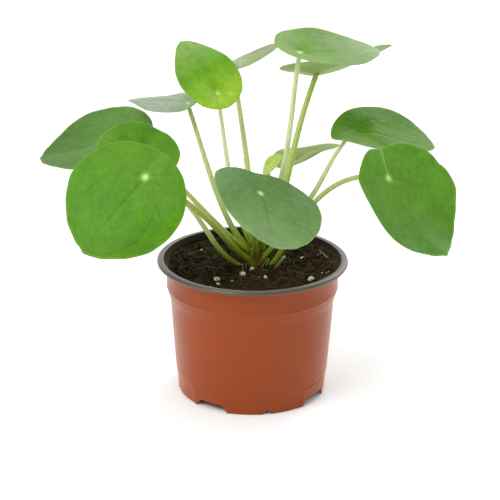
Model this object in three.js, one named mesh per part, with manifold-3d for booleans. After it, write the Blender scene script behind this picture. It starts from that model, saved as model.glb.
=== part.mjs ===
// A young pilea in a thin plastic nursery pot, 87 mm high and 120 mm across the rim.
//
// Round peltate leaves stand on long stalks that spread from one short stem. The stem is rooted
// in the peat that fills the pot. Millimetres and degrees, +Z up, +Y towards the back.
// Every leaf is placed by the point where its stalk meets the blade, which is called its seat.

import * as THREE from "three";
import { mergeVertices } from "three/addons/utils/BufferGeometryUtils.js";
import Module from "manifold-3d";

const wasm = await Module();
wasm.setup();

// ---- Driving sizes

// Space between two pieces that touch.
const GAP = 0.3;

// Pot. Its feet are counted from 12.5 degrees to the right of the front.
const RIM_RADIUS = 60;
const POT_HEIGHT = 87;
const SHOULDER_RADIUS = 54;
const SHOULDER_LOW = 62;
const WALL_RADIUS = 52;
const FOOT_RADIUS = 46.8;
const WALL = 1.1;
const FOOT_STEP_HEIGHT = 12;
const FOOT_HEIGHT = 4.8;
const FOOT_WIDTH = 2.2;
const FEET = 4;
const FIRST_FOOT = -90 + 12.5;
const NOTCH_WIDE = 22;
const NOTCH_NARROW = 17;
const DRAIN_RADIUS = 2.8;
const POT_SIDES = 72;

// Soil, with its top level in the middle, its rise to the wall, the swell of its surface and
// its larger white prills.
const SOIL_TOP = 78;
const SOIL_RISE = 4;
const SOIL_SWELL = 0.9;
const SOIL_SIDES = 40;
const SOIL_RINGS = 9;
const PRILLS = [
  { x: -22, y: -19, radius: 2 },
  { x: -21, y: -27, radius: 1.1 },
  { x: -6, y: -10, radius: 1.8 },
  { x: 8, y: -13, radius: 1.4 },
  { x: 24.5, y: -7, radius: 1 },
  { x: 32, y: 19, radius: 1.4 },
  { x: 36.5, y: -18.5, radius: 2.1 },
  { x: 43.5, y: -6.5, radius: 1.1 },
  { x: -33, y: 27, radius: 1.1 },
  { x: -8, y: 45, radius: 1.8 },
];

// Main stem, a little behind the middle of the pot.
const STEM_X = 1;
const STEM_Y = 11;
const STEM_FOOT = 64;
const STEM_TOP = 93;
const STEM_RADIUS = 4.5;
const SCALE_HALF_WIDTH = 0.9;
const SCALES = [
  { turn: 220, level: 90, height: 10 },
  { turn: 306, level: 86, height: 9 },
];

// Leaves.
const BLADE_THICKNESS = 0.9;
const BLADE_SIDES = 28;
const BLADE_RINGS = [0.14, 0.42, 0.7, 0.88, 1];
const STALK_SIDES = 8;
const STALK_STEPS = 12;
const CUTTER_HEIGHT = 6;
const GREEN = 0x4f8a2c;
const STALK_GREEN = 0xa3b45c;

// What a leaf has unless its own entry says otherwise:
//   seat    distance from the base edge to the seat, as a share of the length
//   point   how far the tip narrows, taper how much wider the base half is than the tip half
//   droop   bend down along the midrib, arch bend down across it, twist turn along it
//   dimple  depth in millimetres of the funnel over the stalk
//   fold    rise of the two halves from the midrib, skew share by which one half is wider
//   crease  rise of the base lobes from the line between them, notch depth of the cut there
//   curl    rise in millimetres of the right-hand edge, wave height of the ripple in the rim
const USUAL_LEAF = {
  seat: 0.25,
  point: 0.3,
  taper: 0.08,
  droop: 0,
  arch: 0,
  twist: 0,
  dimple: 2,
  fold: 0,
  skew: 0,
  crease: 0,
  notch: 0,
  curl: 0,
  wave: 0.5,
  stalk: 1.4,
  color: GREEN,
};

// at is the seat. turn, dip and roll place the blade: turn is the heading of the tip from +X
// to +Y, dip how far the tip hangs, and roll the turn about the midrib. from is where the stalk
// starts on the stem, as a direction, a distance from its axis and a height, and by holds the two
// points that its curve is drawn towards.
const LEAVES = [
  {
    name: "leaf_left_front", at: [-64, -38, 151.5], turn: -147.5, dip: 41, roll: -35,
    length: 75, width: 75.5, seat: 0.24, point: 0.22, taper: 0.05, droop: 0.1, arch: 0.14,
    twist: -0.07, dimple: 0.8, fold: -0.01, skew: -0.05, stalk: 1.7, color: 0x5a9a2e,
    from: [196, 2, 81.5], by: [[-17.5, 7, 90], [-18, -6.5, 115]],
  },
  {
    name: "leaf_left_middle", at: [-66, -5, 157], turn: -132, dip: 29, roll: -20, length: 50,
    width: 54, seat: 0.34, point: 0.5, taper: 0.07, droop: -0.08, arch: 0.18, fold: 0.2,
    skew: -0.05, wave: 1, color: 0x44802c, from: [180, 2, 86.5],
    by: [[-19, 4.5, 100], [-32, 7, 119]],
  },
  {
    name: "leaf_left_back", at: [-82, 26, 155], turn: 174, dip: 17, roll: -13, length: 75,
    width: 73, seat: 0.27, taper: 0.06, droop: -0.03, arch: -0.05, twist: -0.03, fold: 0.11,
    skew: -0.02, color: 0x5d8a4a, from: [253, 3, 82],
    by: [[-19, -18.5, 73.5], [-27, 18, 115.5]],
  },
  {
    name: "leaf_left_upper", at: [-41.5, 30, 178], turn: 169.5, dip: 7.5, roll: -7, length: 46,
    width: 36.5, seat: 0.18, point: 0.73, taper: 0.12, droop: -0.04, arch: 0.35, twist: 0.2,
    dimple: 3, fold: 0.03, skew: -0.01, stalk: 1.5, color: 0x86a070, from: [147, 5.2, 88.5],
    by: [[-20, 16, 104], [-30, 26, 143]],
  },
  {
    name: "leaf_upper_left", at: [-23, 26, 186], turn: 146, dip: -43, roll: -18, length: 51,
    width: 43, seat: 0.23, point: 0.26, taper: 0.12, arch: 0.24, dimple: 2.4, fold: 0.12,
    skew: -0.04, stalk: 1.25, color: 0x7fb52c, from: [140, 1.2, 90],
    by: [[-16.5, 21, 115.5], [-18, 33, 159]],
  },
  {
    name: "leaf_upper_back", at: [-14, 62, 194], turn: 15, dip: -22, roll: -12, length: 44,
    width: 41, point: 0.5, taper: 0.02, droop: 0.1, arch: 0.5, twist: 0.06, dimple: 3,
    fold: 0.05, skew: -0.03, stalk: 1.6, color: 0x86a070, from: [115, 5.2, 86],
    by: [[0.5, 26, 120], [-7, 51, 156]],
  },
  {
    name: "leaf_top", at: [27.5, 8, 216.5], turn: 20, dip: 10, roll: 11.5, length: 65.5,
    width: 55, point: -0.03, taper: 0.03, droop: -0.14, arch: -0.1, twist: -0.1, fold: 0.11,
    skew: -0.03, stalk: 1.5, color: 0x86b070, from: [329, 2.4, 92.5],
    by: [[24.5, 5.5, 141.5], [21.5, 11, 179]],
  },
  {
    name: "leaf_under_top", at: [39.5, 46, 194.5], turn: 9.5, dip: -3.5, roll: -24, length: 73,
    width: 59, seat: 0.32, point: 0.73, taper: -0.23, droop: -0.31, arch: 0.45, twist: -0.04,
    dimple: 2.9, fold: 0.19, skew: 0.03, stalk: 1.8, color: 0x6c9258, from: [29, 5.2, 87.5],
    by: [[23.5, 15, 120.5], [20, 22, 147.5]],
  },
  {
    name: "leaf_right_upper", at: [62.5, 30, 161], turn: -17.5, dip: 8, roll: 17.5,
    length: 65.5, width: 58, seat: 0.2, point: 0.23, taper: 0.17, droop: 0.02, arch: -0.04,
    twist: -0.2, fold: 0.01, skew: 0.03, curl: 14.8, color: 0x4f8038, from: [350, 2, 78.5],
    by: [[53, 16, 136.5], [38.5, 24, 133]],
  },
  {
    name: "leaf_right_front", at: [81.5, -22, 147], turn: -51, dip: 54.5, roll: -4,
    length: 76.5, width: 78, seat: 0.26, point: 0.39, taper: 0.11, droop: -0.4, arch: -1.22,
    twist: 0.04, dimple: 1.6, fold: -0.3, skew: -0.06, crease: 0.35, notch: 1.5, stalk: 1.5,
    color: 0x3f7c28, from: [309, 3, 82.5], by: [[22.5, -8, 68], [25.5, -5.5, 155]],
  },
  {
    name: "leaf_centre_front", at: [4, -62, 150], turn: -78, dip: 20, roll: -22, length: 67,
    width: 69, seat: 0.27, point: 0.15, taper: 0.1, droop: 0.11, arch: -0.03, twist: -0.08,
    fold: 0.1, skew: 0.02, stalk: 1.5, color: 0x6f9168, from: [275, 2, 84],
    by: [[3, -13, 102], [-3, -44, 124]],
  },
  {
    name: "leaf_young", at: [9, -8, 145.5], turn: 9, dip: -43.5, roll: 5.5, length: 17,
    width: 15.5, seat: 0.2, point: 0.58, taper: 0.06, droop: -0.16, arch: -0.09, twist: 0.12,
    dimple: 0.4, fold: 0.34, skew: 0.05, wave: 0, stalk: 1.1, color: 0x9cc23c,
    from: [270, 4.6, 91], by: [[5, 4, 107], [15, -3, 128]],
  },
  {
    name: "leaf_inner_right", at: [27.5, 48, 136], turn: 41, dip: -12.5, roll: -6.5,
    length: 51, width: 37, seat: 0.29, point: 0.48, taper: -0.1, droop: 0.28, arch: 0.25,
    twist: -0.23, fold: 0.15, skew: 0.21, wave: 0.8, stalk: 1.2, color: 0x7f9c66,
    from: [70, 5.2, 90], by: [[5, 22, 107], [22, 41, 117]],
  },
];

// Short stub of a stalk that was cut off, from the stem towards the right.
const STUB = { from: [285, 3, 80.6], by: [[5, -3, 79.6], [12, -4, 79.6]], end: [20, -3.5, 89], radius: 1 };

// ---- Materials

const potMaterial = new THREE.MeshStandardMaterial({ color: 0x9e4f31, roughness: 0.4 });
const soilMaterial = new THREE.MeshStandardMaterial({ color: 0x2b2118, roughness: 0.95 });
const stemMaterial = new THREE.MeshStandardMaterial({ color: 0x7d7a3c, roughness: 0.6 });
const stalkMaterial = new THREE.MeshStandardMaterial({ color: STALK_GREEN, roughness: 0.45 });

// ---- Helpers

const radians = THREE.MathUtils.degToRad;

function seededRandom(seed) {
  let state = seed;
  return () => {
    state = (state * 1664525 + 1013904223) % 4294967296;
    return state / 4294967296;
  };
}

function solidOf(geometry) {
  const bare = geometry.clone();
  bare.deleteAttribute("normal");
  bare.deleteAttribute("uv");
  const merged = mergeVertices(bare, 1e-4);
  const mesh = new wasm.Mesh({
    numProp: 3,
    vertProperties: new Float32Array(merged.attributes.position.array),
    triVerts: new Uint32Array(merged.index.array),
  });
  return new wasm.Manifold(mesh);
}

function geometryOf(solid) {
  const { vertProperties, triVerts } = solid.getMesh();
  const geometry = new THREE.BufferGeometry();
  geometry.setAttribute("position", new THREE.BufferAttribute(new Float32Array(vertProperties), 3));
  geometry.setIndex(new THREE.BufferAttribute(new Uint32Array(triVerts), 1));
  return geometry;
}

function surfaceOf(positions, triangles) {
  const geometry = new THREE.BufferGeometry();
  geometry.setAttribute("position", new THREE.Float32BufferAttribute(positions, 3));
  geometry.setIndex(triangles);
  return geometry;
}

// Closed skin over a row of rings. The first and the last ring are single points.
function skinOf(rings) {
  const positions = rings.flat().flatMap((point) => [point.x, point.y, point.z]);
  const triangles = [];
  let start = 0;
  for (let i = 0; i + 1 < rings.length; i += 1) {
    const low = rings[i].length;
    const high = rings[i + 1].length;
    const sides = Math.max(low, high);
    const next = start + low;
    for (let j = 0; j < sides; j += 1) {
      const k = (j + 1) % sides;
      if (high > 1) triangles.push(start + (low > 1 ? j : 0), next + k, next + j);
      if (low > 1) triangles.push(start + j, start + k, next + (high > 1 ? k : 0));
    }
    start = next;
  }
  return surfaceOf(positions, triangles);
}

function turned(points, sides) {
  const profile = points.map(([radius, height]) => new THREE.Vector2(radius, height));
  return new THREE.LatheGeometry(profile, sides).rotateX(Math.PI / 2);
}

function named(name, geometry, material) {
  const mesh = new THREE.Mesh(geometry, material);
  mesh.name = name;
  return mesh;
}

// ---- Pot

// Lines of the wall from the middle of the floor, out, up, over the rim and down inside.
function potProfile() {
  const floor = FOOT_HEIGHT + WALL + 0.1;
  const outside = [
    [0, FOOT_HEIGHT],
    [FOOT_RADIUS - FOOT_WIDTH, FOOT_HEIGHT],
    [FOOT_RADIUS - FOOT_WIDTH, 0],
    [FOOT_RADIUS, 0],
    [FOOT_RADIUS + 0.6, FOOT_STEP_HEIGHT - 0.5],
    [FOOT_RADIUS + 1.4, FOOT_STEP_HEIGHT + 0.5],
    [WALL_RADIUS - 0.2, SHOULDER_LOW - 3],
    [WALL_RADIUS - 0.5, SHOULDER_LOW - 2.2],
    [WALL_RADIUS, SHOULDER_LOW],
    [SHOULDER_RADIUS - 0.3, SHOULDER_LOW + 4],
    [SHOULDER_RADIUS + 0.2, POT_HEIGHT - 3],
    [SHOULDER_RADIUS + 1.2, POT_HEIGHT - 2.2],
    [RIM_RADIUS - 0.6, POT_HEIGHT - 1.7],
    [RIM_RADIUS, POT_HEIGHT - 1],
    [RIM_RADIUS - 0.4, POT_HEIGHT - 0.3],
    [RIM_RADIUS - 1.6, POT_HEIGHT],
    [RIM_RADIUS - 2.8, POT_HEIGHT - 0.2],
  ];
  const inside = [
    [SHOULDER_RADIUS - 0.6, POT_HEIGHT - 3],
    [SHOULDER_RADIUS - 0.3 - WALL, SHOULDER_LOW + 4.3],
    [WALL_RADIUS - WALL, SHOULDER_LOW + 0.3],
    [WALL_RADIUS - 0.3 - WALL, SHOULDER_LOW - 3],
    [FOOT_RADIUS + 1.4 - WALL, FOOT_STEP_HEIGHT + 0.8],
    [FOOT_RADIUS + 0.5 - WALL, FOOT_STEP_HEIGHT],
    [FOOT_RADIUS + 0.2 - WALL, floor],
    [0, floor],
  ];
  return [...outside, ...inside];
}

// A slot with sloping sides that is pushed through the foot ring along its radius.
function footNotch() {
  const outline = new THREE.Shape();
  outline.moveTo(-NOTCH_WIDE / 2, -1);
  outline.lineTo(NOTCH_WIDE / 2, -1);
  outline.lineTo(NOTCH_NARROW / 2, FOOT_HEIGHT);
  outline.lineTo(-NOTCH_NARROW / 2, FOOT_HEIGHT);
  outline.closePath();
  const notch = new THREE.ExtrudeGeometry(outline, { depth: 12, bevelEnabled: false });
  return notch.rotateX(Math.PI / 2).rotateZ(Math.PI / 2).translate(FOOT_RADIUS - 8, 0, 0);
}

function drainNotch() {
  const notch = new THREE.CylinderGeometry(DRAIN_RADIUS, DRAIN_RADIUS, 12, 12);
  return notch.rotateZ(Math.PI / 2).translate(FOOT_RADIUS, 0, 0);
}

function pot() {
  let body = solidOf(turned(potProfile(), POT_SIDES));
  const step = 360 / FEET;
  for (let i = 0; i < FEET; i += 1) {
    const foot = radians(FIRST_FOOT + i * step);
    const space = foot + radians(step / 2);
    body = body.subtract(solidOf(drainNotch().rotateZ(foot)));
    body = body.subtract(solidOf(footNotch().rotateZ(space)));
  }
  return named("pot", geometryOf(body), potMaterial);
}

// ---- Soil

function soilHeight(x, y) {
  const swell = Math.sin(x * 0.21 + 1) * Math.cos(y * 0.17 + 2) + 0.5 * Math.sin((x - y) * 0.43);
  const rise = SOIL_RISE * (Math.hypot(x, y) / SHOULDER_RADIUS) ** 3;
  return SOIL_TOP + rise + SOIL_SWELL * swell * 0.6;
}

function ringAt(radius, heightAt) {
  const ring = [];
  for (let j = 0; j < SOIL_SIDES; j += 1) {
    const angle = (2 * Math.PI * j) / SOIL_SIDES;
    const x = radius * Math.cos(angle);
    const y = radius * Math.sin(angle);
    ring.push(new THREE.Vector3(x, y, heightAt(x, y)));
  }
  return ring;
}

function prillAt({ x, y, radius }, random) {
  const stretch = 0.8 + 0.3 * random();
  const prill = new THREE.IcosahedronGeometry(radius, 1).scale(1, stretch, 0.85);
  return prill.rotateZ(6 * random()).translate(x, y, soilHeight(x, y) + radius * 0.3);
}

function soil() {
  const floor = FOOT_HEIGHT + WALL + 0.1 + GAP;
  const clear = WALL + GAP + 0.3;
  const side = [
    [FOOT_RADIUS - clear, floor],
    [FOOT_RADIUS + 0.8 - clear, FOOT_STEP_HEIGHT + 0.8],
    [WALL_RADIUS - 0.4 - clear, SHOULDER_LOW],
    [SHOULDER_RADIUS - 0.4 - clear, SHOULDER_LOW + 5],
  ];
  const edge = SHOULDER_RADIUS - 0.2 - clear;
  const rings = [[new THREE.Vector3(0, 0, floor)]];
  for (const [radius, height] of side) rings.push(ringAt(radius, () => height));
  for (let i = SOIL_RINGS; i > 0; i -= 1) rings.push(ringAt((edge * i) / SOIL_RINGS, soilHeight));
  rings.push([new THREE.Vector3(0, 0, soilHeight(0, 0))]);

  let body = solidOf(skinOf(rings));
  const random = seededRandom(7);
  for (const prill of PRILLS) body = body.add(solidOf(prillAt(prill, random)));
  const depth = SOIL_TOP + 6 - STEM_FOOT + GAP;
  const hole = new THREE.CylinderGeometry(STEM_RADIUS + 0.4 + GAP, STEM_RADIUS + 0.4 + GAP, depth, 20);
  hole.rotateX(Math.PI / 2).translate(STEM_X, STEM_Y, STEM_FOOT - GAP + depth / 2);
  return named("soil", geometryOf(body.subtract(solidOf(hole))), soilMaterial);
}

// ---- Stem, stalks and stub

// The stem's outline, grown outwards by a margin.
function stemBody(margin) {
  const profile = [
    [0, STEM_FOOT - margin],
    [STEM_RADIUS - 1 + margin, STEM_FOOT - margin],
    [STEM_RADIUS + 0.4 + margin, SOIL_TOP - 6],
    [STEM_RADIUS + margin, SOIL_TOP + 4],
    [STEM_RADIUS - 0.2 + margin, STEM_TOP - 3],
    [STEM_RADIUS - 1.4 + margin, STEM_TOP - 0.8 + margin],
    [0, STEM_TOP + margin],
  ];
  return turned(profile, 20).translate(STEM_X, STEM_Y, 0);
}

function pointOnStem([turn, distance, height]) {
  const angle = radians(turn);
  const x = STEM_X + distance * Math.cos(angle);
  const y = STEM_Y + distance * Math.sin(angle);
  return new THREE.Vector3(x, y, height);
}

// A round tube along a curve, with radiusAt giving its radius from 0 at its start to 1.
function tubeAlong(curve, radiusAt) {
  const frames = curve.computeFrenetFrames(STALK_STEPS, false);
  const rings = [[curve.getPointAt(0)]];
  for (let i = 0; i <= STALK_STEPS; i += 1) {
    const share = i / STALK_STEPS;
    const centre = curve.getPointAt(share);
    const ring = [];
    for (let j = 0; j < STALK_SIDES; j += 1) {
      const angle = (2 * Math.PI * j) / STALK_SIDES;
      const out = frames.normals[i].clone().multiplyScalar(Math.cos(angle));
      out.addScaledVector(frames.binormals[i], Math.sin(angle));
      ring.push(centre.clone().addScaledVector(out, radiusAt(share)));
    }
    rings.push(ring);
  }
  rings.push([curve.getPointAt(1)]);
  return skinOf(rings);
}

// A stalk is a fifth thicker where it leaves the stem.
function stalkRadius(radius) {
  return (share) => radius * (1 + 0.2 * Math.exp(-12 * share));
}

function stalk(leaf) {
  const start = pointOnStem(leaf.from);
  const [first, second] = leaf.by.map((point) => new THREE.Vector3(...point));
  const end = new THREE.Vector3(0, 0, 1.2).applyMatrix4(placeOf(leaf));
  const curve = new THREE.CubicBezierCurve3(start, first, second, end);
  const tube = solidOf(tubeAlong(curve, stalkRadius(leaf.stalk)));
  const above = bladeSolid(leaf, -BLADE_THICKNESS / 2 - GAP, CUTTER_HEIGHT).applyMatrix4(placeOf(leaf));
  const body = tube.subtract(solidOf(stemBody(GAP))).subtract(solidOf(above));
  return named(`${leaf.name}_stalk`, geometryOf(body), stalkMaterial);
}

function stub() {
  const start = pointOnStem(STUB.from);
  const [first, second] = STUB.by.map((point) => new THREE.Vector3(...point));
  const curve = new THREE.CubicBezierCurve3(start, first, second, new THREE.Vector3(...STUB.end));
  const tube = solidOf(tubeAlong(curve, () => STUB.radius));
  return named("cut_stalk", geometryOf(tube.subtract(solidOf(stemBody(GAP)))), stalkMaterial);
}

// A dry pointed scale that stands against the stem. level is where it grows from.
function scaleAt({ turn, level, height }) {
  const scale = new THREE.ConeGeometry(SCALE_HALF_WIDTH, height, 6).rotateX(Math.PI / 2);
  scale.scale(0.6, 1, 1).translate(STEM_RADIUS - 0.1, 0, level + height / 2);
  return scale.rotateZ(radians(turn)).translate(STEM_X, STEM_Y, 0);
}

function mainStem() {
  let body = solidOf(stemBody(0));
  for (const scale of SCALES) body = body.add(solidOf(scaleAt(scale)));
  return named("main_stem", geometryOf(body), stemMaterial);
}

// ---- Blades

// Point of the rim at an angle that is counted from the tip.
function rimPoint(leaf, angle) {
  const along = Math.cos(angle);
  const across = Math.sin(angle);
  const narrowing = 1 - leaf.point * ((1 + along) / 2) ** 4;
  const widening = 1 - leaf.taper * along;
  const fromBase = Math.abs(angle - Math.PI);
  const cut = leaf.notch * Math.exp(-((fromBase / 0.18) ** 2));
  const x = leaf.length * (0.5 - leaf.seat + along / 2) + cut;
  const y = (leaf.width / 2) * (across * narrowing * widening + leaf.skew * across ** 2);
  return [x, y];
}

// Height of the blade over its own plane. x runs from the seat to the tip and y to the left.
function bladeHeight(leaf, x, y) {
  const { length, width } = leaf;
  const spread = x * x + y * y;
  const halves = Math.hypot(y, 2) - 2;
  const behind = THREE.MathUtils.clamp(-x / (leaf.seat * length), 0, 1);
  const edge = THREE.MathUtils.clamp((-y / (width / 2) - 0.4) / 0.6, 0, 1);
  const ripple = Math.sin(5 * Math.atan2(y, x) + leaf.length);
  let height = leaf.dimple * (1 - Math.exp(-spread / (0.12 * length) ** 2));
  height -= (leaf.droop * x * x + leaf.arch * y * y - leaf.twist * x * y) / length;
  height += leaf.fold * halves + leaf.crease * behind * halves;
  height += leaf.curl * edge ** 2 + (leaf.wave * ripple * spread) / (length / 2) ** 2;
  return height;
}

// The space between two heights over the blade's middle surface, from one net of points.
function bladeSolid(leaf, low, high) {
  const net = [[0, 0]];
  for (const share of BLADE_RINGS) {
    for (let j = 0; j < BLADE_SIDES; j += 1) {
      const [x, y] = rimPoint(leaf, (2 * Math.PI * j) / BLADE_SIDES);
      net.push([x * share, y * share]);
    }
  }
  const positions = [low, high].flatMap((lift) => {
    return net.flatMap(([x, y]) => [x, y, bladeHeight(leaf, x, y) + lift]);
  });

  const sheet = [];
  const rim = [];
  const rings = BLADE_RINGS.length;
  for (let j = 0; j < BLADE_SIDES; j += 1) {
    const k = (j + 1) % BLADE_SIDES;
    sheet.push([0, 1 + j, 1 + k]);
    for (let i = 1; i < rings; i += 1) {
      const inner = 1 + (i - 1) * BLADE_SIDES;
      const outer = inner + BLADE_SIDES;
      sheet.push([inner + j, outer + j, outer + k], [inner + j, outer + k, inner + k]);
    }
    const last = 1 + (rings - 1) * BLADE_SIDES;
    const top = net.length + last;
    rim.push(last + j, last + k, top + k, last + j, top + k, top + j);
  }
  const lower = sheet.flatMap(([a, b, c]) => [c, b, a]);
  const upper = sheet.flat().map((point) => point + net.length);
  return surfaceOf(positions, [...lower, ...upper, ...rim]);
}

function placeOf(leaf) {
  const turn = new THREE.Euler(radians(leaf.roll), radians(leaf.dip), radians(leaf.turn), "ZYX");
  const place = new THREE.Matrix4().makeRotationFromEuler(turn);
  return place.setPosition(...leaf.at);
}

function blade(leaf) {
  const material = new THREE.MeshStandardMaterial({ color: leaf.color, roughness: 0.5 });
  const solid = bladeSolid(leaf, -BLADE_THICKNESS / 2, BLADE_THICKNESS / 2);
  const mesh = named(`${leaf.name}_blade`, solid, material);
  mesh.position.set(...leaf.at);
  mesh.rotation.set(radians(leaf.roll), radians(leaf.dip), radians(leaf.turn), "ZYX");
  return mesh;
}

// ---- The whole plant, set so that the middle of its outer box stands over the origin

const plant = new THREE.Group();
plant.add(pot(), soil(), mainStem(), stub());
for (const entry of LEAVES) {
  const leaf = { ...USUAL_LEAF, ...entry };
  plant.add(stalk(leaf), blade(leaf));
}

const box = new THREE.Box3().setFromObject(plant, true);
const middle = box.getCenter(new THREE.Vector3());
plant.position.set(-middle.x, -middle.y, -box.min.z);

const object = new THREE.Group();
object.add(plant);

export default object;
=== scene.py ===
"""A young pilea in a nursery pot, dressed over the CAD frame: leaves, stalks, stem, peat, pot."""

import math

import bpy
import numpy as np
from bpy.props import FloatProperty, FloatVectorProperty, IntProperty, PointerProperty
from mathutils import Matrix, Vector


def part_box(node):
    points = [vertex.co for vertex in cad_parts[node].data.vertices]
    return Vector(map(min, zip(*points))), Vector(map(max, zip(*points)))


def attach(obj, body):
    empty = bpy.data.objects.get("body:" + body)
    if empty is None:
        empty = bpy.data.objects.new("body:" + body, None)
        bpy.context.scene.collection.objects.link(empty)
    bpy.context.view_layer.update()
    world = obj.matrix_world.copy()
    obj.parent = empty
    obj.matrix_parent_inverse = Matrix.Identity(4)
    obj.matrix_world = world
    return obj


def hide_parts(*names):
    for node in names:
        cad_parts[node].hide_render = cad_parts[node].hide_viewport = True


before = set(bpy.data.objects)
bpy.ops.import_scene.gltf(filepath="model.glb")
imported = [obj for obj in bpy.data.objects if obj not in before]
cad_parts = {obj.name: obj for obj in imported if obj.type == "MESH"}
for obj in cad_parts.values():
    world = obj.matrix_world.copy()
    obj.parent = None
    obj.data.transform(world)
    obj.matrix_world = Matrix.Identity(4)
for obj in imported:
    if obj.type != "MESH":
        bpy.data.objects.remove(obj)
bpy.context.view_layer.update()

bl_info = {
    "name": "Potted Pilea",
    "version": (1, 0, 0),
    "blender": (4, 5, 0),
    "location": "3D View > Sidebar > Pilea",
    "description": "Dresses a potted pilea: blades, stalks, stem, peat and pot",
    "category": "Object",
}

MM = 0.001
TURN = 2 * math.pi

# The pot's axis, the foot of the whole plant in the frame.
POT_LOW, POT_HIGH = (np.array(corner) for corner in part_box("pot"))
AXIS = (POT_LOW + POT_HIGH) / 2 * (1, 1, 0)
POT_HEIGHT = (POT_HIGH - POT_LOW)[2] / MM
RIM_RADIUS = (POT_HIGH - POT_LOW)[0] / 2 / MM

# What a leaf has unless its entry says otherwise, as shares of its length except dimple, notch,
# curl, wave and stalk, which are millimetres. drip is how far the tip is drawn out and spot the
# strength of the pale seat. tone, mid_tone and tip_tone colour the upper face from its base to
# its tip: the leaf's own green with painted sheen and painted shade mixed in, as light falls on
# each part of the blade. under colours the lower face. The stalk has its pale stalk_tone from
# the share pale upwards.
USUAL_LEAF = {
    "seat": 0.25, "point": 0.3, "taper": 0.08, "droop": 0, "arch": 0, "twist": 0, "dimple": 2,
    "fold": 0, "skew": 0, "crease": 0, "notch": 0, "curl": 0, "wave": 0.5, "stalk": 1.4,
    "spot": 1, "drip": 0.012, "tone": "#5f9a39", "mid_tone": "#5f9a39", "tip_tone": "#5f9a39",
    "under": "#a9bd94", "stalk_tone": "#c3cf94", "pale": 0.75,
}

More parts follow.
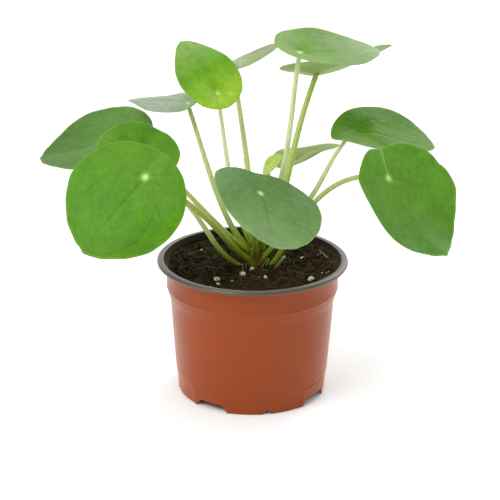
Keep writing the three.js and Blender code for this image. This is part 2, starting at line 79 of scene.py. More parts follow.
# at is the seat, where the stalk meets the blade, in millimetres from the pot's axis and the
# floor. turn, dip and roll place the blade in degrees. start is a direction, a distance and a
# height on the stem, and by holds the two points that the stalk's curve is drawn towards.
LEAVES = {
    "left_front": dict(
        at=(-64, -38, 151.5), turn=-147.5, dip=41, roll=-35, length=75, width=75.5, seat=0.24,
        point=0.22, taper=0.05, droop=0.1, arch=0.14, twist=-0.07, dimple=0.8, fold=-0.01,
        skew=-0.05, stalk=1.7, start=(196, 2, 81.5), by=((-17.5, 7, 90), (-18, -6.5, 115)),
        tone="#538905", mid_tone="#4d8805", tip_tone="#508610", stalk_tone="#aeba5c"),
    "left_middle": dict(
        at=(-66, -5, 157), turn=-132, dip=29, roll=-20, length=50, width=54, seat=0.34,
        point=0.5, taper=0.07, droop=-0.08, arch=0.18, fold=0.2, skew=-0.05, wave=1,
        start=(180, 2, 86.5), by=((-19, 4.5, 100), (-32, 7, 119)), tone="#4d8307",
        mid_tone="#598812", tip_tone="#4b8307", stalk_tone="#cfd886"),
    "left_back": dict(
        at=(-82, 26, 155), turn=174, dip=17, roll=-13, length=75, width=73, seat=0.27,
        taper=0.06, droop=-0.03, arch=-0.05, twist=-0.03, fold=0.11, skew=-0.02, pale=0.9,
        start=(175, 8, 75.5), by=((-31.5, -11.7, 99), (-18.3, 13.3, 100.9)), tone="#537e2b",
        mid_tone="#4c7728", tip_tone="#466a20", stalk_tone="#e6edb1"),
    "left_upper": dict(
        at=(-41.5, 30, 178), turn=169.5, dip=7.5, roll=-7, length=46, width=36.5, seat=0.18,
        point=0.73, taper=0.12, droop=-0.04, arch=0.35, twist=0.2, dimple=3, fold=0.03,
        skew=-0.01, stalk=1.5, pale=0.45, start=(147, 5.2, 88.5),
        by=((-20, 16, 104), (-30, 26, 143)), tone="#8ba17c", mid_tone="#8e9d84",
        tip_tone="#919c89", under="#a5ba96", stalk_tone="#c7d28e"),
    # upper_left's pale tip_tone is a painted reflection of the bright surround on its upper half.
    "upper_left": dict(
        at=(-23, 26, 186), turn=146, dip=-43, roll=-18, length=51, width=43, seat=0.23,
        point=0.26, taper=0.12, arch=0.24, dimple=2.4, fold=0.12, skew=-0.04, stalk=1.25,
        start=(140, 1.2, 90), by=((-16.5, 21, 115.5), (-18, 33, 159)), tone="#97c231",
        mid_tone="#629b0e", tip_tone="#86aa58", stalk_tone="#e5eeb8"),
    "upper_back": dict(
        at=(-14, 62, 194), turn=15, dip=-22, roll=-12, length=44, width=41, point=0.5,
        taper=0.02, droop=0.1, arch=0.5, twist=0.06, dimple=3, fold=0.05, skew=-0.03, stalk=1.6,
        start=(115, 5.2, 86), by=((0.5, 26, 120), (-7, 51, 156)), tone="#a0ab8d",
        mid_tone="#83955b", tip_tone="#828b6a", under="#a8bb88", stalk_tone="#e1e7a6"),
    "top": dict(
        at=(27.5, 8, 216.5), turn=20, dip=10, roll=11.5, length=65.5, width=55, point=-0.03,
        taper=0.03, droop=-0.14, arch=-0.1, twist=-0.1, fold=0.11, skew=-0.03, stalk=1.5, pale=0.55,
        start=(329, 2.4, 92.5), by=((24.5, 5.5, 141.5), (21.5, 11, 179)), tone="#6a932f",
        mid_tone="#5d862c", tip_tone="#849f6d", stalk_tone="#cfd8a1"),
    "under_top": dict(
        at=(39.5, 46, 194.5), turn=9.5, dip=-3.5, roll=-24, length=73, width=59, seat=0.32,
        point=0.73, taper=-0.23, droop=-0.31, arch=0.45, twist=-0.04, dimple=2.9, fold=0.19,
        skew=0.03, stalk=1.8, start=(29, 5.2, 87.5), by=((23.5, 15, 120.5), (20, 22, 147.5)),
        tone="#7c9c62", mid_tone="#7c9c62", tip_tone="#7c9c62", under="#96b169",
        stalk_tone="#afc068"),
    "right_upper": dict(
        at=(62.5, 30, 161), turn=-17.5, dip=8, roll=17.5, length=65.5, width=58, seat=0.2,
        point=0.23, taper=0.17, droop=0.02, arch=-0.04, twist=-0.2, fold=0.01, skew=0.03,
        curl=14.8, spot=0.15, drip=0, start=(350, 2, 78.5), by=((53, 16, 136.5), (38.5, 24, 133)),
        tone="#5b8e28", mid_tone="#588812", tip_tone="#4b790c", under="#7fa752",
        stalk_tone="#d2daa5"),
    "right_front": dict(
        at=(81.5, -22, 147), turn=-51, dip=54.5, roll=-4, length=76.5, width=78, seat=0.26,
        point=0.39, taper=0.11, droop=-0.4, arch=-1.22, twist=0.04, dimple=1.6, fold=-0.3,
        skew=-0.06, crease=0.35, notch=1.5, stalk=1.5, start=(4.5, 9.6, 76),
        by=((21.4, -1.9, 88.2), (35, -6.7, 153.5)), tone="#609829", mid_tone="#568820",
        tip_tone="#3f7704", stalk_tone="#a5b06d"),
    "centre_front": dict(
        at=(4, -62, 150), turn=-80, dip=20, roll=-22, length=64.5, width=68.5, seat=0.275, point=0,
        taper=0.1, droop=0.11, arch=-0.03, twist=-0.08, fold=0.1, skew=0.02, drip=0, stalk=1.5,
        start=(275, 2, 84), by=((3, -13, 102), (-3, -44, 124)), tone="#577c3f",
        mid_tone="#5a8039", tip_tone="#6c8f53", stalk_tone="#778f25"),
    "young": dict(
        at=(9, -8, 145.5), turn=9, dip=-43.5, roll=5.5, length=17, width=15.5, seat=0.2,
        point=0.58, taper=-0.12, droop=-0.16, arch=-0.09, twist=0.12, dimple=0.4, fold=0.34,
        skew=0.05, wave=0, stalk=1.1, start=(270, 4.6, 91), by=((5, 4, 107), (15, -3, 128)),
        tone="#acbe70", mid_tone="#a5bf4f", tip_tone="#aac45e", under="#b3cf66"),
    "inner_right": dict(
        at=(27.5, 48, 136), turn=41, dip=-12.5, roll=-6.5, length=51, width=37, seat=0.29,
        point=0.48, taper=-0.1, droop=0.28, arch=0.25, twist=-0.23, fold=0.15, skew=0.21,
        wave=0.8, stalk=1.2, spot=0.15, start=(70, 5.2, 90),
        by=((19.3, 17.6, 94.1), (19, 46, 132.4)), tone="#8b995c", mid_tone="#748c38",
        tip_tone="#849a47", under="#9fb384", stalk_tone="#a9ba6c"),
}
LEAVES = {name: {**USUAL_LEAF, **entry} for name, entry in LEAVES.items()}


def linear(code):
    """An sRGB hex colour as linear red, green, blue and alpha."""
    shares = (int(code[i:i + 2], 16) / 255 for i in (1, 3, 5))
    lit = tuple(s / 12.92 if s <= 0.04045 else ((s + 0.055) / 1.055) ** 2.4 for s in shares)
    return (*lit, 1.0)


def color_of(value, share=1.0):
    """A colour property as the four numbers that a node takes, dimmed to a share of its light."""
    return (*(part * share for part in value[:3]), 1.0)


# ---- Nodes

# Inputs without a name of their own go by number: in MapRange 0 is the value, 1 and 2 the range
# that it comes from, 3 and 4 the range that it goes to; in Mix 0 is the share, 6 and 7 the colours.


def add(tree, kind, links=None, **settings):
    """Adds a shader node with its settings. links fills its inputs, each with a value, an output
    or a node, whose first open output is taken."""
    node = tree.nodes.new(f"ShaderNode{kind}")
    for key, value in settings.items():
        setattr(node, key, value)
    for key, value in (links or {}).items():
        if isinstance(value, bpy.types.Node):
            value = next(output for output in value.outputs if output.enabled)
        if isinstance(value, bpy.types.NodeSocket):
            tree.links.new(value, node.inputs[key])
        else:
            node.inputs[key].default_value = value
    return node


def new_material(name):
    """An empty node material, its tree and the place on the object that wears it."""
    material = bpy.data.materials.new(name)
    material.use_nodes = True
    tree = material.node_tree
    tree.nodes.clear()
    return material, tree, add(tree, "TexCoord").outputs["Object"]


def parts_of(tree, field):
    """The three parts of a vector field that is stored at a piece's points."""
    stored = add(tree, "Attribute", attribute_name=field).outputs["Vector"]
    return add(tree, "SeparateXYZ", {0: stored})


def varied(tree, color, field, low, high, least, most, **settings):
    """A colour times a share that runs from least to most as a field runs from low to high."""
    share = add(tree, "MapRange", {0: field, 1: low, 2: high, 3: least, 4: most}, **settings)
    return add(tree, "Mix", {0: 1.0, 6: color, 7: share}, data_type="RGBA", blend_type="MULTIPLY")


def finish_material(material, color, roughness, relief, strength, distance, **sockets):
    """Bump, Principled shader and output. sockets are constants on the shader's own inputs."""
    tree = material.node_tree
    bump = add(tree, "Bump", {"Height": relief, "Strength": strength, "Distance": distance})
    links = {"Base Color": color, "Roughness": roughness, "Normal": bump}
    links.update({key.replace("_", " "): value for key, value in sockets.items()})
    shader = add(tree, "BsdfPrincipled", links)
    add(tree, "OutputMaterial", {"Surface": shader})
    return material


# ---- Shapes


def soft_noise(points, size, seed):
    """Smooth noise from -1 to 1: random numbers on a lattice with cells of one size, blended
    between the eight corners of the cell that holds each point."""
    cell = np.floor(points / size)
    part = points / size - cell
    part = part * part * (3 - 2 * part)
    total = np.zeros(points.shape[:-1])
    for corner in np.ndindex(2, 2, 2):
        phase = (cell + corner) @ np.array((127.1, 311.7, 74.7)) + seed
        value = np.modf(np.abs(np.sin(phase)) * 43758.5453)[0]
        weight = np.prod(np.where(corner, part, 1 - part), axis=-1)
        total += weight * value
    return 2 * total - 1


def closed_skin(grid, first, last):
    """Points and faces of a closed skin: a first pole, rows of points that each go round, and a
    last pole. It faces out where rows run outwards over the top and down the sides."""
    rows, columns = grid.shape[:2]
    points = np.vstack([first, grid.reshape(-1, 3), last])
    index = 1 + np.arange(rows * columns).reshape(rows, columns)
    beside = np.roll(index, -1, axis=1)
    quads = np.stack([index[:-1], index[1:], beside[1:], beside[:-1]], -1).reshape(-1, 4)
    opening = np.stack([np.zeros(columns, int), index[0], beside[0]], -1)
    closing = np.stack([index[-1], np.full(columns, len(points) - 1), beside[-1]], -1)
    return points, quads.tolist() + opening.tolist() + closing.tolist()


def many_of(points, faces):
    """One set of points and faces from several copies of a piece: points is copies by points."""
    copies, count = points.shape[:2]
    shifted = [[first + corner for corner in face]
               for first in range(0, copies * count, count) for face in faces]
    return points.reshape(-1, 3), shifted


def all_round(count):
    """Angles spread evenly over one turn."""
    return np.linspace(0, TURN, count, endpoint=False)


def around(radius, angle, height):
    """Points round the axis: (radius * cos angle, radius * sin angle, height)."""
    return np.stack([radius * np.cos(angle), radius * np.sin(angle), height + 0 * angle], -1)


def put(name, data):
    """A new object in the scene, made of its data."""
    made = bpy.data.objects.new(name, data)
    bpy.context.scene.collection.objects.link(made)
    return made


def make_piece(name, points, faces, materials, fields=None, face_slots=None):
    """A smooth mesh object, from millimetres round the pot's axis to metres in the frame.
    fields are vectors stored at its points, which its materials read."""
    mesh = bpy.data.meshes.new(name)
    mesh.from_pydata((points * MM + AXIS).tolist(), [], faces)
    mesh.polygons.foreach_set("use_smooth", np.ones(len(faces), bool))
    if face_slots is not None:
        mesh.polygons.foreach_set("material_index", face_slots)
    for key, values in (fields or {}).items():
        attribute = mesh.attributes.new(key, "FLOAT_VECTOR", "POINT")
        attribute.data.foreach_set("vector", np.ascontiguousarray(values, np.float32).ravel())
    for material in materials:
        mesh.materials.append(material)
    mesh.update()
    piece = put(name, mesh)
    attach(piece, "root")
    return piece


def frames_along(curve):
    """Unit vectors across a curve: its tangent, one to the side of it and one square to both."""
    tangent = np.gradient(curve, axis=0)
    tangent /= np.linalg.norm(tangent, axis=1, keepdims=True)
    side = np.cross(tangent, (0.35, 0.9, 0.1))
    side /= np.linalg.norm(side, axis=1, keepdims=True)
    return tangent, side, np.cross(tangent, side)


def tube(curve, radius, sides, ripple=0.0):
    """A round profile carried along a curve: point = curve + radius * (cos a * side + sin a *
    up). ripple is the share by which seven soft ridges swell it. It is closed by two poles."""
    _, side, up = frames_along(curve)
    angle = all_round(sides)
    swell = radius[:, None] * (1 + ripple * np.cos(7 * angle))
    cos, sin = np.cos(angle)[:, None], np.sin(angle)[:, None]
    grid = curve[:, None] + swell[..., None] * (cos * side[:, None] + sin * up[:, None])
    return closed_skin(grid[::-1], curve[-1], curve[0])


def bezier(points, share):
    """Cubic curve: each end pulled towards by its own middle point, in the usual weights."""
    a, b, c, d = (np.array(point, float) for point in points)
    t = share[:, None]
    return (1 - t) ** 3 * a + 3 * (1 - t) ** 2 * t * b + 3 * (1 - t) * t * t * c + t ** 3 * d


# ---- Settings

LENGTH = {"unit": "LENGTH", "subtype": "DISTANCE"}
ANGLE = {"unit": "ROTATION", "subtype": "ANGLE"}


def color_setting(name, description, code):
    """A colour property whose default is a hex colour."""
    return FloatVectorProperty(name=name, description=description, subtype="COLOR", size=3,
                               min=0, max=1, default=linear(code)[:3])


def number(kind, name, description, default, low, high, **unit):
    """A number property between two limits, in a unit if it has one."""
    return kind(name=name, description=description, default=default, min=low, max=high, **unit)


class PotSettings(bpy.types.PropertyGroup):
    outside: color_setting("Outside", "Colour of the pot's outer layer", "#994009")
    inside: color_setting("Inside", "Colour of the inner layer, which shows on the rim", "#564c3f")
    # The inner wall's dark colour is partly peat stain and partly painted shade of the pot's
    # hollow.
    stained_and_shaded: color_setting(
        "Stained", "Colour of the inner wall where wet peat has stained it", "#1f1a10")
    wall: number(FloatProperty, "Wall", "Thickness of the wall in millimetres", 1.0, 0.5, 2)
    sides: number(IntProperty, "Sides", "Divisions round the pot", 240, 60, 400)


class LeafSettings(bpy.types.PropertyGroup):
    thickness: number(
        FloatProperty, "Thickness", "Thickness of a blade in millimetres", 0.8, 0.4, 1.5)
    seat_color: color_setting("Seat", "Colour of the spot over the stalk", "#cdea8a")
    rim_color: color_setting("Rim", "Colour of the thin pale rim", "#94b958")
    vein_width: number(
        FloatProperty, "Vein width", "Half width of the middle vein in millimetres", 0.8, 0.2, 2)
    rings: number(IntProperty, "Rings", "Rows from the middle to the rim", 40, 8, 60)
    sides: number(IntProperty, "Sides", "Divisions round the rim", 144, 24, 240)


class StalkSettings(bpy.types.PropertyGroup):
    base_color: color_setting("Base", "Colour where a stalk leaves the stem", "#8fa828")
    steps: number(IntProperty, "Steps", "Rows along a stalk", 70, 20, 200)
    sides: number(IntProperty, "Sides", "Sides of a stalk", 20, 8, 40)


class PeatSettings(bpy.types.PropertyGroup):
    dark: color_setting("Peat", "Colour of the moist peat", "#3a2e1a")
    fibre: color_setting("Fibre", "Colour of its dry fibres", "#8a6c42")
    crumbs: number(IntProperty, "Crumbs", "Loose crumbs", 1500, 0, 4000)
    fibres: number(IntProperty, "Fibres", "Loose fibres", 520, 0, 2000)
    seed: number(IntProperty, "Seed", "Seed of the scatter", 11, 0, 9999)


class StageSettings(bpy.types.PropertyGroup):
    distance: number(FloatProperty, "Distance", "Camera's distance in front of the pot's axis",
                     0.95, 0.3, 3, **LENGTH)
    height: number(FloatProperty, "Height", "Camera's height", 0.448, 0, 2, **LENGTH)
    pitch: number(FloatProperty, "Pitch", "How far the camera looks down", math.radians(20.55), 0,
                  1.5, **ANGLE)
    heading: number(FloatProperty, "Heading", "How far the camera turns to the left",
                    math.radians(0.1), -3.2, 3.2, **ANGLE)
    roll: number(FloatProperty, "Roll", "Turn of the camera about its own view", math.radians(0.5),
                 -1, 1, **ANGLE)
    lens: number(FloatProperty, "Lens", "Focal length in millimetres", 116.4, 10, 300)


# The scene's property for each group of settings.
SETTINGS = {
    "pilea_pot": PotSettings,
    "pilea_leaf": LeafSettings,
    "pilea_stalk": StalkSettings,
    "pilea_peat": PeatSettings,
    "pilea_stage": StageSettings,
}


# ---- Pot


def pot_plastic(name, color, roughness, level):
    """Polystyrene sheet, thermoformed: smooth with a faint drag of the mould, so it has a soft
    satin shine that brightens where the wall turns away, and no grain. level is the strength of
    the shine."""
    material, tree, place = new_material(name)
    drag = add(tree, "Mapping", {"Vector": place, "Scale": (1, 1, 0.25)})
    cloud = add(tree, "TexNoise", {"Vector": drag, "Scale": 60, "Detail": 3})
    grain = add(tree, "TexNoise", {"Vector": drag, "Scale": 900, "Detail": 2})
    shade = add(tree, "Mix", {0: cloud, 6: color_of(color, 0.9), 7: color}, data_type="RGBA")
    rough = add(tree, "MapRange", {0: cloud, 3: roughness - 0.05, 4: roughness + 0.07})
    return finish_material(material, shade, rough, grain, 0.05, 0.0004, IOR=1.55,
                           Specular_IOR_Level=level, Sheen_Weight=0.25, Sheen_Roughness=0.35,
                           Sheen_Tint=(1, 0.82, 0.6, 1))


# The pot's floor from above and from below, and the top of the skirt that the feet shape.
FLOOR_TOP, FLOOR_UNDER = 6, 4.8
SKIRT_TOP = 12.3

# The outer wall from under the rim to the skirt, and the skirt with the foot's round edge, each
# as radius and height in millimetres.
SHOULDER = [
    (54.3, 83.3), (53.95, 70), (54.1, 69.5), (54.05, 69.1), (53.75, 68.8), (53.5, 67.5),
    (53.15, 66), (52.7, 64.5), (52.3, 63.2), (51.95, 62), (51.7, 60.8), (51.5, 59.4),
    (51.1, 52), (48.5, 16)]
FOOT = [
    (48.3, 14), (48.05, 12.6), (47.8, 11.4), (47.6, 10.2), (47.4, 8), (46.9, 2), (46.8, 0.4),
    (46.5, 0.02), (45.9, 0.02), (45.6, 0.5), (45.5, 2), (45.3, 4.2)]


def pot_outline(wall):
    """The wall's section as radius and height in millimetres: over the floor, up the inside,
    over the flat rim and its turned-down lip, down the outside and under the floor. Also the
    counts of the points up to the rim's inner edge and up to the lip's lower edge."""
    top, rim = POT_HEIGHT, RIM_RADIUS
    outer = [(radius - wall, height) for radius, height in SHOULDER[:0:-1]]
    inside = [
        (20, FLOOR_TOP), (45.6, FLOOR_TOP), (46.1, 6.6), (46.6, 12), (47.1, 13), *outer, (53.1, 80),
        (53.35, 83.2), (53.9, 84.5), (54.8, 85.3), (55.5, 86), (55.75, top - 0.45)]
    flange = [
        (55.9, top - 0.15), (56.3, top), (58.4, top - 0.05), (59.3, top - 0.3),
        (59.8, top - 0.75), (rim, top - 1.3), (rim, top - 1.8), (59.8, top - 2.1),
        (59.5, top - 2.15)]
    outside = [
        (59.3, top - 1.9), (59.1, top - 1.5), (58.5, top - 1.3), (56.6, top - 1.4),
        (55.5, top - 1.8), (54.8, top - 2.5), *SHOULDER, *FOOT, (44.9, FLOOR_UNDER),
        (20, FLOOR_UNDER)]
    return np.array(inside + flange + outside), len(inside), len(inside) + len(flange)


# The directions of the feet and the radius at their soles. A notch has half its width, the
# width of each slanted end and its height, a tread the width of its blend into the notch, and a
# drain half its width.
FOOT_AT = np.radians(-77.5 + 90 * np.arange(4))
FOOT_RADIUS = 46.8
NOTCH_HALF, NOTCH_SLANT, NOTCH_HEIGHT = 11.5, 3.7, 4.7
TREAD_BLEND, TREAD_SWELL = 6, 0.6
DRAIN_HALF = 2.4


def foot_lift(angle):
    """Height of the wall's lower edge in millimetres: 0 under the four feet, the notch's height
    in the slanted notches between them, and a low round arch over the drain in the middle of each
    foot. Also the share of the tread, from 0 in a notch to 1 on a foot."""
    to_foot = (angle - FOOT_AT[0] + TURN / 8) % (TURN / 4) - TURN / 8
    arc = np.abs(to_foot) * FOOT_RADIUS
    to_notch = TURN / 8 * FOOT_RADIUS - arc
    slope = np.clip((NOTCH_HALF - to_notch) / NOTCH_SLANT, 0, 1)
    arch = np.sqrt(np.clip(DRAIN_HALF ** 2 - arc ** 2, 0, None))
    tread = np.clip((to_notch - NOTCH_HALF) / TREAD_BLEND, 0, 1)
    return np.maximum(NOTCH_HEIGHT * slope, arch), tread


class PILEA_OT_pot(bpy.types.Operator):
    """Shapes the thermoformed pot with its rim, shoulder, feet and notches"""

    bl_idname = "pilea.pot"
    bl_label = "Pot"

    def execute(self, context):
        settings = context.scene.pilea_pot
        outline, stained_and_shaded, inner = pot_outline(settings.wall)
        even = all_round(settings.sides)
        drain = FOOT_AT[:, None] + np.sin(np.linspace(-1.57, 1.57, 13)) * DRAIN_HALF / FOOT_RADIUS
        inward = NOTCH_HALF - NOTCH_SLANT
        edges = np.array([-NOTCH_HALF, -inward, inward, NOTCH_HALF])
        corner = FOOT_AT[:, None] + TURN / 8 + edges / FOOT_RADIUS
        angle = np.unique(np.concatenate([even, drain.ravel() % TURN, corner.ravel() % TURN]))
        radius, height = outline.T
        lift, tread = foot_lift(angle)
        row, low = np.arange(len(outline))[:, None], height[:, None]
        skirt = (row >= inner) & (row < len(outline) - 2) & (low < SKIRT_TOP)
        raised = np.where(skirt, low + lift * (1 - low / SKIRT_TOP), low)
        swell = np.where(skirt, TREAD_SWELL * (1 - tread) * np.clip(13 - low, 0, 1), 0)
        grid = around(radius[:, None] + swell, angle, raised)
        points, faces = closed_skin(grid, (0, 0, FLOOR_TOP), (0, 0, FLOOR_UNDER))
        quads = (len(outline) - 1) * len(angle)
        slots = np.full(len(faces), 2)
        # The inner wall from the floor to the rim's inner edge wears the dark colour: peat stain
        # and painted shade.
        slots[:stained_and_shaded * len(angle)] = 1
        slots[stained_and_shaded * len(angle):(inner - 1) * len(angle)] = 0
        slots[quads:quads + len(angle)] = 1
        plastic = [
            pot_plastic("grey_inner_layer", color_of(settings.inside), 0.3, 0.5),
            pot_plastic("peat_stain_and_painted_shade_wall", color_of(settings.stained_and_shaded), 0.8, 0.1),
            pot_plastic("terracotta_outer_layer", color_of(settings.outside), 0.3, 0.22)]
        piece = make_piece("pot_shell", points, faces, plastic, face_slots=slots)
        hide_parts("pot")
        return {"FINISHED"}


# ---- Peat

# The peat's level, its foot on the pot's floor, its radius at the top, its rise at the wall and
# the extra height of its heap on the right.
PEAT_TOP, PEAT_FOOT, PEAT_RADIUS = 78, 6.6, 52.2
PEAT_RISE, PEAT_HEAP = 5.3, 2.8

# Where the stem stands, the width that loose pieces keep from it, and how far out they lie.
STEM_AT = (1, 11)
STEM_CLEAR, SCATTER_RADIUS = 7, 51.5

# Larger grains of white grit: place from above and radius.
PRILLS = [
    (-22, -19, 2.0), (-21, -27, 1.1), (-6, -10, 1.8), (8, -13, 1.4), (24.5, -7, 0.8),
    (32, 19, 1.4), (36.5, -18.5, 2.1), (43.5, -10, 0.6), (46, -14.5, 0.45), (47.5, -14, 0.4),
    (-33, 27, 0.9), (-8, 45, 1.8), (-12.5, -20, 0.6), (-0.2, 3.5, 1.5)]

# Strands on the peat: name, radius, arch, colour and four points from above.
STRANDS = (
    ("pale_root", 0.45, 1.0, "#6a6440", ((-5.9, 12.5), (-7.4, 6), (-4.6, 2), (-6.8, -5))),
    ("rusty_root", 0.5, 0.8, "#5b4322", ((-3.4, 13.5), (-5, 9), (-3, 6), (-4.8, -1))),
    ("straw", 0.45, 1.4, "#7d7458", ((43, 24), (44.5, 14), (45, 10), (48.6, 0.5))),
    ("fine_root", 0.4, 0.3, "#56523a", ((-32.5, 0), (-30, 6), (-25, -1), (-20, 4))),
    ("curled_bud", 0.7, 2.4, "#85834a", ((5.6, 5.5), (10, 16), (12, 12), (8.4, 7.5))),
    ("root_tip", 0.6, 0.6, "#55502f", ((5, -1.5), (7, 0.5), (9, -1), (10, -1.5))),
    ("back_straw", 0.4, 0.8, "#6d6248", ((-30, 24), (-34, 27), (-38, 24), (-42, 22))))


def smoothed(values):
    """Values along a line after three passes of a mean of neighbours."""
    for _ in range(3):
        padded = np.pad(values, 1, mode="edge")
        values = (padded[:-2] + padded[1:-1] + padded[2:]) / 3
    return values


def strand_material(name, color):
    """Dead root or straw: a dull, slightly fibrous skin, lighter where it has dried out."""
    material, tree, place = new_material(name)
    fibre = add(tree, "TexNoise", {"Vector": place, "Scale": 1100, "Detail": 3})
    skin = varied(tree, color, fibre, 0.3, 0.7, 0.7, 1.25)
    return finish_material(material, skin, 0.6, fibre, 0.3, 0.0004, IOR=1.45,
                           Specular_IOR_Level=0.25)


def peat_height(x, y):
    """Height of the peat: a rise towards the wall by the fourth power of the distance from the
    axis, more of it heaped up on the right, a slow swell of crossed sines, and three layers of
    noise."""
    rise = PEAT_RISE * (np.hypot(x, y) / 54) ** 4
    rise = rise + PEAT_HEAP * np.clip((x - 25) / 27, 0, 1) ** 2 * np.clip((y + 25) / 25, 0, 1)
    swell = np.sin(x * 0.21 + 1) * np.cos(y * 0.17 + 2) + 0.5 * np.sin((x - y) * 0.43)
    place = np.stack([x, y, np.zeros_like(x)], -1)
    lumps = 0.9 * soft_noise(place, 6.5, 3) + 0.55 * soft_noise(place, 2.6, 5)
    crumbs = 0.35 * np.abs(soft_noise(place, 1.1, 8))
    return PEAT_TOP + rise + 0.54 * swell + lumps + crumbs


def on_peat(x, y, lift=0):
    """Points at places from above, each lifted over the peat by a height."""
    return np.stack([x, y, peat_height(x, y) + lift], -1)


def peat_material(name, settings, speckle):
    """Moist peat, milled: almost black between matted brown fibres, rough and without shine
    apart from a wet glint. Fibres about a millimetre wide, drawn by a stretched noise; speckle is
    how strongly they show."""
    material, tree, place = new_material(name)
    bend = add(tree, "TexNoise", {"Vector": place, "Scale": 120, "Detail": 2})
    swirl = add(tree, "Mix", {0: 0.02, 4: place, 5: bend.outputs[1]}, data_type="VECTOR")
    strands = add(tree, "Mapping", {"Vector": swirl, "Scale": (1, 0.3, 1)})
    fibre = add(tree, "TexNoise", {"Vector": strands, "Scale": 900, "Detail": 5, "Roughness": 0.65})
    patch = add(tree, "TexNoise", {"Vector": place, "Scale": 230, "Detail": 4})
    rise = add(tree, "MapRange", {0: fibre, 1: 0.5, 2: 0.72})
    wide = add(tree, "MapRange", {0: patch, 1: 0.42, 2: 0.68, 4: speckle})
    amount = add(tree, "Math", {0: rise, 1: wide}, operation="MULTIPLY")
    dark, black = color_of(settings.dark), color_of(settings.dark, 0.35)
    base = add(tree, "Mix", {0: patch, 6: black, 7: dark}, data_type="RGBA")
    color = add(tree, "Mix", {0: amount, 6: base, 7: color_of(settings.fibre)}, data_type="RGBA")
    return finish_material(material, color, 0.85, fibre, 0.9, 0.0012, IOR=1.45,
                           Specular_IOR_Level=0.15)


def prill_material():
    """Expanded perlite grit: chalk white with a little peat in its pores, matt and pitted."""
    material, tree, place = new_material("white_perlite")
    pores = add(tree, "TexNoise", {"Vector": place, "Scale": 900, "Detail": 3})
    dirt = add(tree, "MapRange", {0: pores, 1: 0.35, 2: 0.55})
    color = add(tree, "Mix", {0: dirt, 6: linear("#857a5c"), 7: linear("#ebe3cc")},
                data_type="RGBA")
    return finish_material(material, color, 0.7, pores, 0.5, 0.0006)


def ball(rows, columns):
    """Unit sphere as a closed skin, from the top: z = cos u, and a ring of radius sin u."""
    down = np.linspace(0, math.pi, rows + 2)[1:-1, None]
    angle = all_round(columns)
    return closed_skin(around(np.sin(down), angle, np.cos(down)), (0, 0, 1), (0, 0, -1))


def scattered(random, count):
    """Places spread evenly over the peat, clear of the stem: radius = edge * sqrt(share)."""
    radius = SCATTER_RADIUS * np.sqrt(random.random(count))
    angle = TURN * random.random(count)
    x, y = radius * np.cos(angle), radius * np.sin(angle)
    clear = np.hypot(x - STEM_AT[0], y - STEM_AT[1]) > STEM_CLEAR
    return x[clear], y[clear]


def turned_about(angle):
    """One rotation about the vertical for each angle."""
    cos, sin, zero = np.cos(angle), np.sin(angle), np.zeros_like(angle)
    rows = [cos, -sin, zero, sin, cos, zero, zero, zero, zero + 1]
    return np.stack(rows, -1).reshape(-1, 3, 3)


